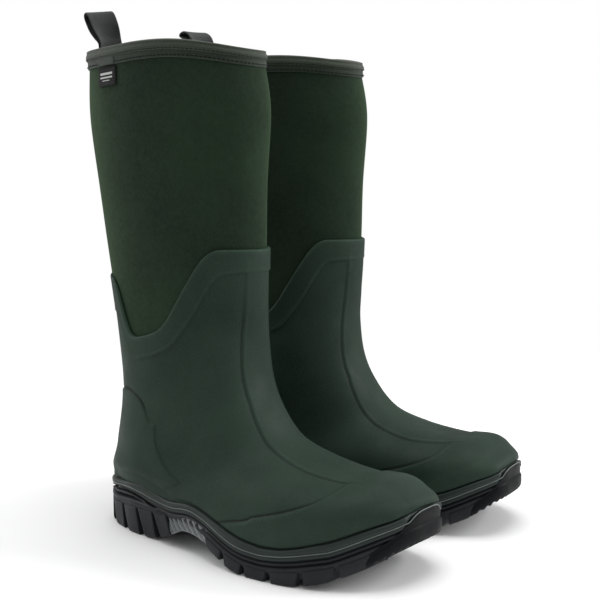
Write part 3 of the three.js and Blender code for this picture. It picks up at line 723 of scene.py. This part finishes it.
def plate_shape():
    """The outsole's plate, above and behind the lugs."""
    x = EDGE[:, 0]
    arch = ease(x, 88, 104) * ease(x, 156, 146)
    fore = ease(x, 120, 150)
    deep = 9 * (1 - fore) + 4.2 * fore
    under = np.minimum(underside(x) + deep * (1 - arch) + 1.5 * arch, tread_top(x) - 1.2)
    toe = ease(x, 284, 296)
    top = tread_top(x) + .4
    rings = [ring_at(-3.6 - 2 * toe, under), ring_at(-2.6 - 2 * toe, under + .3),
             ring_at(-1.7 - 1.5 * toe, under * .5 + top * .5), ring_at(-.6 - toe, top - .6),
             ring_at(-.1 - toe, top)]
    return rings_body(rings)


def lug(x0, x1, side, inner, slant, rake):
    """One tread lug, from the outline inwards. rake moves its foot forward, slant its inner end."""
    m = 9
    x = np.linspace(x0, x1, m)
    inner_x = np.linspace(x1, x0, 4) + slant
    along = np.concatenate([x, inner_x])
    middle = along.mean()
    reach = np.concatenate([np.ones(m), np.zeros(4)])
    levels = []
    for k, inset in ((0, 1.1), (.12, .1), (.5, 0), (1, 0)):
        q = middle + (along - middle) * (1 - LUG_TAPER * (1 - k) / (x1 - x0)) + rake * (1 - k)
        y = np.where(reach > 0, half_width(q, side) + .9 - inset, inner + inset)
        foot, roof = underside(q), tread_top(q) + .2
        levels.append(np.stack([q, side * y, foot + (roof - foot) * k], -1))
    return np.array(levels), capped_faces(4, len(along)), {}


def block(x, y, sx, sy, turn, low, high):
    """A small inner lug: a six-sided block, narrower at its foot."""
    plan = np.array([[-.5, -.35], [0, -.5], [.5, -.35], [.5, .35], [0, .5], [-.5, .35]]) * [sx, sy]
    c, s = math.cos(math.radians(turn)), math.sin(math.radians(turn))
    plan = plan @ np.array([[c, s], [-s, c]])
    grid = [np.concatenate([plan * k + [x, y], np.full((6, 1), z)], 1)
            for k, z in ((.86, low), (.97, low + 1.6), (1, high))]
    return np.array(grid), capped_faces(3, 6), {}


# lugs along each side: start, end, and for the heel how far the foot leans forward
HEEL_LUGS = [(1.2, 15, 1), (17.2, 36, 5), (38.4, 58, 6.5), (60.4, 79, 7), (81.4, 99, 8)]
FORE_LUGS = [(150, 169), (172, 191), (194, 214.5), (217.5, 240.5), (243.5, 265.5), (268.5, 287)]


def lugs_shape():
    parts = []
    for side in (-1, 1):
        for x0, x1, rake in HEEL_LUGS:
            parts.append(lug(x0, x1, side, 9, slant=5, rake=rake))
        for x0, x1 in FORE_LUGS:
            parts.append(lug(x0, x1, side, 23, slant=-6 * side, rake=-1.2))
    for i, x in enumerate(range(166, 262, 18)):
        z = float(underside(np.array(x)))
        for y, turn in ((-11, 16), (11, -16)):
            parts.append(block(x + (4 if y > 0 else 0), y, 14, 15, turn, z + .4, z + 7))
    for x in (18, 40, 62):
        parts.append(block(x, 0, 15, 12, 0, .5, 12))
    return join(*parts)


def chain_from(x0):
    """The outline ahead of x0, as an open chain round the toe."""
    ahead = EDGE[:, 0] >= x0
    first = int(np.argmax(ahead))
    count = int(ahead.sum())
    index = (first + np.arange(count)) % NO
    return EDGE[index], EDGE_NORMAL[index]


def open_slab(rings):
    """A closed body from rings that are open chains; the ends and lids are bridged straight across."""
    grid = np.array(rings)
    rows, n = grid.shape[:2]
    faces = ring_faces(rows, n).tolist()
    for r, flip in ((0, True), (rows - 1, False)):
        for i in range(n // 2 - 1 + n % 2):
            a, b, c, d = (r * n + q for q in (i, i + 1, n - 2 - i, n - 1 - i))
            quad = [a, b, c, d] if b != c else [a, b, d]
            faces.append(quad[::-1] if flip else quad)
    return grid, faces, {}


def bumper_top(x):
    return table([[280, 20], [285, 27], [290, 32], [295, 37], [300, 43], [303, 48.5], [305, 54],
                  [306, 56.5]], x)


def bumper_shape():
    base, normal = chain_from(BUMPER_START)
    x = base[:, 0]
    run = lengths(base)
    from_end = np.minimum(run, run[-1] - run)
    start = ease(from_end, -2, 9)
    bite = (.5 + .5 * np.tanh(4 * np.sin(from_end * 2 * np.pi / 6.4))) * ease(from_end, 2, 5)
    foot = underside(x)
    top = bumper_top(x)
    lip = foot + np.minimum((top - foot) * .8, 13.5)
    levels = [(-3.0, foot + bite * .5), (-1.2 - bite * .6, foot + .1 + bite),
              (.1 - bite * .7, foot + 1.3 + bite), (.7 + .5 * start, foot + 3.2),
              (.7 + .9 * start, foot * .55 + lip * .45), (.6 + .9 * start, lip - 1.6),
              (.5 + .5 * start, lip - .4), (.35 + .1 * start, lip + .2), (.3, lip + .9),
              (.35, lip + 2.2), (.45, (lip + top) / 2 + .8), (.5, top - 1.2), (.3, top - .4),
              (-1.6, top)]
    rings = [ring_at(o, z, base, normal) for o, z in levels]
    for a, b in zip(rings, rings[1:]):
        b[:, 2] = np.maximum(b[:, 2], a[:, 2] + .02)
    return open_slab(rings)


def arch_shape():
    n = 150
    x = np.linspace(ARCH[0] - 4, ARCH[1] + 6, n)
    chains = [np.stack([x, side * half_width(x, side)], -1) for side in (-1, 1)]
    base = np.concatenate([chains[0], chains[1][::-1]])
    normal = np.concatenate([np.tile([0, -1.0], (n, 1)), np.tile([0, 1.0], (n, 1))])
    X = base[:, 0]
    ends = np.minimum(ease(X, ARCH[0] - 4, ARCH[0] + 6), ease(X, ARCH[1] + 6, ARCH[1] - 6))
    low = underside(X) + .3
    high = np.maximum(glue_line(X) - 5.4, low + 2)
    rings = []
    for k in np.linspace(0, 1, 22):
        z = low + (high - low) * k
        flute = .5 + .5 * np.cos(2 * np.pi * (X + z * .85) / 7.0)
        body = math.sin(math.pi * min(1, .1 + k * .86)) ** .4
        rim = ease(np.array(k), .8, .92)
        rings.append(ring_at(-2.6 + 2.9 * body * (.45 + .55 * ends) - 1.7 * flute ** 1.5 * ends
                             * (1 - rim) * ease(np.array(k), 0, .12), z, base, normal))
    return open_slab(rings)


def insole_shape():
    x = np.array([32, 38, 50, 75, 100, 150, 200, 235, 258, 270])
    out = np.array([10, 18, 25, 28, 27, 34, 42, 39, 27, 12])
    inn = np.array([10, 18, 25, 27, 25, 29, 35, 37, 34, 26])
    xs = np.linspace(32, 270, 90)
    o, i = np.interp(xs, x, out), np.interp(xs, x, inn)
    floor = np.interp(xs, [30, 128, 190, 240, 274], [36, 33.5, 31.3, 31.3, 38])
    cols = np.linspace(-1, 1, 31)
    Y = np.where(cols < 0, cols * o[:, None], cols * i[:, None])
    cup = 1.1 * np.abs(cols) ** 4 - .5
    edge = np.sqrt(np.clip(1 - np.abs(cols) ** 8, 0, 1))
    X = np.broadcast_to(xs[:, None], Y.shape)
    top = np.stack([X, Y, floor[:, None] + 2.3 + 2.6 * edge + cup * edge], -1)
    low = np.stack([X, Y, floor[:, None] + 2.3 - 2.0 * edge], -1)
    return two_sided(top, low, weave(X, Y))


# ---- materials ---------------------------------------------------------------------------------
def srgb(colour, gain=1.0):
    """A colour of 0 to 255 as the linear one that Blender wants, first made gain times as light."""
    def linear(c):
        c = min(255, c * gain) / 255
        return c / 12.92 if c <= .04045 else ((c + .055) / 1.055) ** 2.4
    return (*(linear(c) for c in colour), 1.0)


class Nodes:
    """A short way to write a node material."""

    def __init__(self, name):
        self.material = bpy.data.materials.new(name)
        self.material.use_nodes = True
        self.tree = self.material.node_tree
        self.shader = self.tree.nodes["Principled BSDF"]
        self.at = self.new("TexCoord").outputs["Object"]

    def new(self, kind, **values):
        node = self.tree.nodes.new("ShaderNode" + kind)
        for key, value in values.items():
            if hasattr(node, key):
                setattr(node, key, value)
            else:
                self.put(node, key, value)
        return node

    def put(self, node, key, value):
        socket = node.inputs[int(key[1:])] if key[0] == "_" and key[1:].isdigit() else \
            node.inputs[key.replace("_", " ")]
        if isinstance(value, bpy.types.NodeSocket):
            self.tree.links.new(value, socket)
        else:
            socket.default_value = value

    def set(self, **values):
        for key, value in values.items():
            self.put(self.shader, key, value)

    def math(self, operation, a, b=0.0):
        return self.new("Math", operation=operation, _0=a, _1=b).outputs[0]

    def times(self, a, b):
        return self.math("MULTIPLY", a, b)

    def plus(self, a, b):
        return self.math("ADD", a, b)

    def wave(self, x, length):
        """A sine of the given wavelength."""
        return self.math("SINE", self.times(x, 2 * math.pi / length))

    def mix(self, factor, a, b):
        return self.new("MixRGB", Fac=factor, Color1=a, Color2=b).outputs[0]

    def ramp(self, value, low, high, to_low=0.0, to_high=1.0):
        return self.new("MapRange", Value=value, From_Min=low, From_Max=high, To_Min=to_low,
                        To_Max=to_high).outputs[0]

    def field(self, name, output="Fac"):
        return self.new("Attribute", attribute_name=name).outputs[output]

    def cloth(self):
        """The weave's two directions, in millimetres."""
        xyz = self.new("SeparateXYZ", Vector=self.field("cloth", "Vector"))
        return xyz.outputs[0], xyz.outputs[1]

    def squashed(self, z):
        return self.new("Mapping", Vector=self.at, Scale=(1, 1, z)).outputs[0]

    def noise(self, scale, detail=3.0, rough=0.5, vector=None):
        return self.new("TexNoise", Vector=vector or self.at, Scale=scale, Detail=detail,
                        Roughness=rough).outputs["Fac"]

    def cells(self, scale, vector=None):
        return self.new("TexVoronoi", Vector=vector or self.at, Scale=scale).outputs["Distance"]

    def roughness(self, scale, detail, low, high):
        self.set(Roughness=self.ramp(self.noise(scale, detail), .3, .7, low, high))

    def relief(self, height, strength, distance):
        self.set(Normal=self.new("Bump", Height=height, Strength=strength, Distance=distance).outputs[0])


def rubber(name, dark, light, grain, rough, gloss, fields=False):
    """Moulded rubber with a grain; fields says that the mesh carries painted shade for its creases and a
    painted highlight for its edges and ridges.
    """
    n = Nodes(name)
    fine = n.noise(900, 5, .65)
    colour = n.mix(n.ramp(n.noise(14, 4), .35, .65), srgb(dark), srgb(light))
    colour = n.mix(n.ramp(fine, .3, .75, 0, .35), colour, srgb(light, 1.25))
    grit = n.noise(560, 3, .75)                 # the moulded grain, as light and dark specks
    colour = n.mix(n.ramp(grit, .54, .72, 0, .22 * grain), colour, srgb(light, 1.3))
    colour = n.mix(n.ramp(grit, .45, .3, 0, .2 * grain), colour, srgb(dark, .72))
    if fields:
        # painted shade: darker in the creases and the groove above the rand
        colour = n.mix(n.times(n.field("crease_and_shade"), .85), colour, srgb(dark, .45))
        # painted highlight: lighter on the rolled top edge and the raised ridges
        ridge_highlight = n.times(n.field("ridge_highlight"), n.ramp(n.noise(120, 4), .3, .7, .2, .8))
        colour = n.mix(n.times(ridge_highlight, .5), colour, srgb(light, 1.6))
    scuff = n.ramp(n.noise(60, 6, .7, n.squashed(.25)), .62, .78, 0, .18)
    n.set(Base_Color=n.mix(scuff, colour, srgb(light, 1.5)), Specular_IOR_Level=gloss)
    n.roughness(45, 5, *rough)
    pores = n.cells(1500)
    n.relief(n.plus(n.plus(n.times(fine, .5), n.times(pores, .5)), n.times(grit, .8)), .5 * grain, .0003)
    return n.material


def midsole_rubber(dark, light, upper_dark, upper_light):
    """The midsole's side: green above its groove, black below, with painted shade darkest in the grooves
    and the heel recess.
    """
    n = Nodes("midsole_rubber")
    fine = n.noise(900, 5, .65)
    broad = n.ramp(n.noise(16, 4), .35, .65)
    colour = n.mix(n.field("upper"), n.mix(broad, srgb(dark), srgb(light)),
                   n.mix(broad, srgb(upper_dark), srgb(upper_light)))
    colour = n.mix(n.ramp(fine, .3, .75, 0, .3), colour, srgb((52, 58, 58)))
    # painted shade: near black in the grooves and the heel recess
    colour = n.mix(n.times(n.field("crease_and_shade"), .75), colour, srgb((7, 7, 8)))
    n.set(Base_Color=colour, Specular_IOR_Level=.2)
    n.roughness(45, 5, .42, .6)
    n.relief(fine, .3, .0002)
    return n.material


def knit(name, dark, light, sheen, sheen_tint, pitch=1.1):
    """Jersey cloth on neoprene: fine wales and courses, a soft nap that catches light at its edge."""
    n = Nodes(name)
    x, y = n.cloth()
    weave = n.times(n.wave(x, pitch), n.wave(y, pitch * .8))
    colour = n.mix(n.ramp(n.noise(11, 4), .35, .65), srgb(dark), srgb(light))
    colour = n.mix(n.ramp(n.noise(420, 4, .7), .35, .7, 0, .35), colour, srgb(light, 1.35))
    colour = n.mix(n.ramp(weave, -1, 1, .18, 0), colour, srgb(dark, .6))
    n.set(Base_Color=colour, Specular_IOR_Level=.2, Sheen_Weight=sheen, Sheen_Roughness=.45,
          Sheen_Tint=srgb(sheen_tint))
    n.roughness(200, 3, .82, .95)
    n.relief(n.plus(n.times(weave, .35), n.noise(1400, 4, .7)), .35, .0003)
    return n.material


def twill(name, dark, light, pitch, sheen):
    """Webbing, tape or thread: diagonal ribs of yarn."""
    n = Nodes(name)
    x, y = n.cloth()
    rib = n.wave(n.plus(x, n.times(y, .8)), pitch)
    yarn = n.plus(rib, n.times(n.wave(n.math("SUBTRACT", y, x), pitch * .55), .35))
    colour = n.mix(n.ramp(yarn, -1.2, 1.2), srgb(dark), srgb(light))
    colour = n.mix(n.ramp(n.noise(25, 4), .35, .7, 0, .4), colour, srgb(dark, .8))
    colour = n.mix(n.ramp(n.noise(900, 3), .55, .8, 0, .3), colour, srgb(light, 1.5))
    n.set(Base_Color=colour, Specular_IOR_Level=.25, Sheen_Weight=sheen, Sheen_Roughness=.5)
    n.roughness(300, 3, .75, .92)
    n.relief(n.plus(n.times(yarn, .5), n.times(n.noise(1300, 3), .4)), .5, .0004)
    return n.material


def fleece(name, dark, light):
    """A tufted pile, with painted shade dark between its tufts."""
    n = Nodes(name)
    tufts = n.cells(420, n.squashed(.7))
    # painted shade: dark between the tufts
    colour = n.mix(n.ramp(tufts, 0, .7), srgb(light), srgb(dark))
    colour = n.mix(n.ramp(n.noise(40, 4), .4, .7, 0, .5), colour, srgb(dark))
    n.set(Base_Color=colour, Specular_IOR_Level=.12, Sheen_Weight=.6, Sheen_Roughness=.6)
    n.roughness(150, 3, .88, .98)
    n.relief(n.plus(tufts, n.noise(1100, 4, .7)), .8, .0009)
    return n.material


def label_cloth(name, size):
    """Black woven label with three plain white woven bars, and no lettering."""
    n = Nodes(name)
    x, y = n.cloth()
    w, h = size

    def inside(value, low, high):
        return n.times(n.math("GREATER_THAN", value, low), n.math("LESS_THAN", value, high))

    mark = 0.0
    for low, high, left, right in ((.30, .42, .16, .84), (.52, .60, .16, .84), (.70, .74, .30, .70)):
        bar = n.times(inside(y, h * low, h * high), inside(x, w * left, w * right))
        mark = n.math("MAXIMUM", mark, bar)
    thread = n.times(n.wave(x, .5), n.wave(y, .45))
    black = n.mix(n.ramp(thread, -1, 1, 0, .5), srgb((9, 9, 10)), srgb((20, 21, 22)))
    white = n.mix(n.ramp(thread, -1, 1, 0, .5), srgb((205, 208, 206)), srgb((150, 152, 150)))
    n.set(Base_Color=n.mix(mark, black, white), Specular_IOR_Level=.15)
    n.roughness(1600, 3, .55, .75)
    n.relief(n.plus(thread, n.times(mark, 1.5)), .4, .0003)
    return n.material


SHELL = rubber("moulded_green_rubber", (28, 41, 34), (39, 54, 45), 1.0, (.5, .66), .13, fields=True)
RAND_RUBBER = rubber("rand_rubber", (24, 33, 30), (33, 43, 39), .8, (.4, .55), .22)
TREAD = rubber("black_tread_rubber", (21, 22, 25), (33, 34, 38), 1.3, (.42, .6), .2)
BUMPER = rubber("toe_bumper_rubber", (10, 11, 12), (18, 19, 21), 1.2, (.4, .6), .08)
ARCH_RUBBER = rubber("arch_cover_rubber", (80, 84, 86), (108, 112, 112), .5, (.26, .4), .5)
# painted highlight: a pale bead standing for the glint along the rand's seam
SEAM_GLINT = rubber("seam_glint_line", (72, 82, 77), (100, 109, 104), .3, (.4, .5), .4)
MIDSOLE = midsole_rubber((19, 20, 23), (29, 30, 34), (26, 35, 32), (36, 46, 43))
JERSEY = knit("neoprene_jersey", (19, 31, 21), (31, 47, 32), .24, (105, 150, 90))
COLLAR = twill("collar_cloth", (31, 41, 31), (49, 61, 47), .9, .2)
TAPE = twill("binding_tape", (38, 47, 36), (62, 71, 56), .8, .2)
WEBBING = twill("loop_webbing", (30, 33, 32), (54, 57, 55), 1.5, .15)
THREAD = twill("dark_thread", (7, 9, 7), (17, 20, 17), .5, 0)
BOARD = twill("stiffener_board", (96, 92, 82), (128, 122, 108), 2.2, 0)
FLEECE = fleece("lining_fleece", (34, 38, 36), (70, 74, 70))
FOOTBED = fleece("insole_cloth", (48, 50, 45), (84, 86, 78))

# ---- both boots --------------------------------------------------------------------------------
LABEL_ROW = .31                     # section number of the stitches that hold the label
label_shape, label_size = cloth_patch(-121.5, -103, .29, .60, .6, .85, curl=.7, wave=.25)
patch_shape, _ = cloth_patch(-120.5, -103.5, .04, .262, 1.5, .8, nv=24)
board_shape, _ = cloth_patch(128, 232, 5.35, 6.45, .04, .22)      # between the sock and the shell
around_label = np.linspace(-120.8, -103.7, 60)
down_seam = np.linspace(.3, float(shell_edge(180.0)) - .04, 200)
label_stitch = stitches(lift(around_label, LABEL_ROW, 1.6), outward(around_label, LABEL_ROW),
                        1.5, .7, .22)
collar_stitch = stitches(*row_round(-11.4, 1.6), 2.6, .9, .46)
binding_stitch = stitches(*row_round(-5.6, 2.75), 2.4, 1.0, .38)
tape_stitch = join(*[stitches(lift(u, down_seam, 1.2), outward(u, down_seam), 2.6, 1.1, .28)
                     for u in (BACK_TAPE[0] + 2, BACK_TAPE[1] - 2)])
# name, shape, material, slot, the CAD nodes that it stands for, and piece()'s other values
BOOT_PIECES = [
    ("moulded_shell", shell(), SHELL, "shell_rubber",
     ("rubber_shell", "edge_band", "heel_panel", "toe_cap", "instep_strip"), {}),
    ("jersey_upper", sock(), JERSEY, "neoprene_jersey", ("neoprene_sock",), {}),
    ("fleece_lining", lining(), FLEECE, "lining_fleece", ("lining",), {}),
    ("collar_band", facing(), COLLAR, "collar_tape", ("collar_facing",), {}),
    ("rolled_binding", binding_shape(), TAPE, "collar_tape", ("collar_binding",), {}),
    ("collar_stitching", collar_stitch, THREAD, "collar_tape", (), {}),
    ("binding_stitching", binding_stitch, THREAD, "collar_tape", (), {}),
    ("rear_seam_tape", seam_tape(), COLLAR, "collar_tape", ("back_seam_tape",), {}),
    ("rear_seam_stitching", tape_stitch, THREAD, "collar_tape", (), {}),
    ("label_backing", patch_shape, COLLAR, "collar_tape", ("label_patch",), {}),
    ("midsole_wall", midsole_shape(), MIDSOLE, "midsole_rubber", ("midsole",), {}),
    ("rolled_rand", rand_shape(), RAND_RUBBER, "rand_rubber", ("rand",), {}),
    ("seam_glint_line", glint_bead_shape(), SEAM_GLINT, "rand_rubber", (), {}),
    ("outsole_plate", plate_shape(), TREAD, "outsole_rubber", (), {"angle": 40}),
    ("outsole_lugs", lugs_shape(), TREAD, "outsole_rubber", ("outsole",), {"bevel": .8}),
    ("toe_guard", bumper_shape(), BUMPER, "outsole_rubber", ("toe_bumper",), {"angle": 50}),
    ("fluted_arch", arch_shape(), ARCH_RUBBER, "arch_cover_rubber", ("arch_cover",), {}),
    ("footbed", insole_shape(), FOOTBED, "insole_foam", ("insole",), {"body": "insole"}),
    ("woven_label", label_shape, label_cloth("woven_label", label_size), "label_weave", ("label",),
     {"body": "label"}),
    ("label_stitching", label_stitch, THREAD, "label_weave", (), {"body": "label"}),
    ("heel_board", board_shape, BOARD, "stiffener_board", ("heel_stiffener",), {}),
]
# each loop's turn with its boot, forward curl, roll and twist
LOOP_SET = {"right": (0, .10, -7, -17), "left": (LEFT_TURN, .5, 0, 14)}

for side in ("right", "left"):
    made = {name: piece(side, name, shape, material, slot, replaces, **facts)
            for name, shape, material, slot, replaces, facts in BOOT_PIECES}
    loop_shape, base, length = pull_loop(*LOOP_SET[side])
    loop = piece(side, "webbing_loop", loop_shape, WEBBING, "webbing", ("pull_loop", "pull_loop_anchor"),
                 body=None)
    low, high = to_pair(base + [0, 0, -5], side), to_pair(base + [0, 0, 5], side)
    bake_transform(loop)

# ---- floor, light and camera -------------------------------------------------------------------
FLOOR_FADE = (.45, 1.0)             # distances in metres between which the floor fades to white
SKY_AS_LIGHT = .5                   # the white surround looks full white, and lights half as strongly
n = Nodes("studio_floor")
reach = n.new("VectorMath", operation="LENGTH", _0=n.at).outputs["Value"]
n.set(Base_Color=n.mix(n.noise(3), (.93, .93, .93, 1), (.96, .96, .96, 1)), Roughness=.9,
      Specular_IOR_Level=.2, Alpha=n.ramp(reach, *FLOOR_FADE, 1, 0))
bpy.ops.mesh.primitive_plane_add(size=30, location=(0, 0, 0))
floor = bpy.context.object
floor.name = "studio_floor"
floor.data.materials.append(n.material)

world = bpy.data.worlds.new("studio")
world.use_nodes = True
backdrop = world.node_tree.nodes["Background"]
backdrop.inputs[0].default_value = (1, 1, 1, 1)
ray = world.node_tree.nodes.new("ShaderNodeLightPath")
strength = world.node_tree.nodes.new("ShaderNodeMapRange")
strength.inputs["To Min"].default_value = SKY_AS_LIGHT
world.node_tree.links.new(ray.outputs["Is Camera Ray"], strength.inputs["Value"])
world.node_tree.links.new(strength.outputs[0], backdrop.inputs[1])
bpy.context.scene.world = world


def lamp(name, place, aim, size, watts):
    data = bpy.data.lights.new(name, "AREA")
    data.shape, data.size, data.energy = "DISK", size, watts
    obj = bpy.data.objects.new(name, data)
    bpy.context.scene.collection.objects.link(obj)
    obj.location = place
    obj.rotation_euler = (Vector(aim) - Vector(place)).to_track_quat("-Z", "Y").to_euler()


lamp("left_window", (-1.5, -.5, 0.8), (0, 0, .2), 1.0, 9)
lamp("right_window", (1.3, 1.2, 1.0), (0, 0, .2), 1.0, 24)
lamp("overhead", (0, 0, 2.0), (0, 0, .1), 1.8, 26)

camera_data = bpy.data.cameras.new("camera")
camera_data.lens, camera_data.sensor_width = 70.43, 36
camera = bpy.data.objects.new("camera", camera_data)
camera.location = (.59705, -.78915, .3075)
camera.rotation_euler = (math.radians(83.19), 0, math.radians(37.21))
bpy.context.scene.collection.objects.link(camera)
bpy.context.scene.camera = camera
bpy.context.scene.view_settings.view_transform = "Standard"
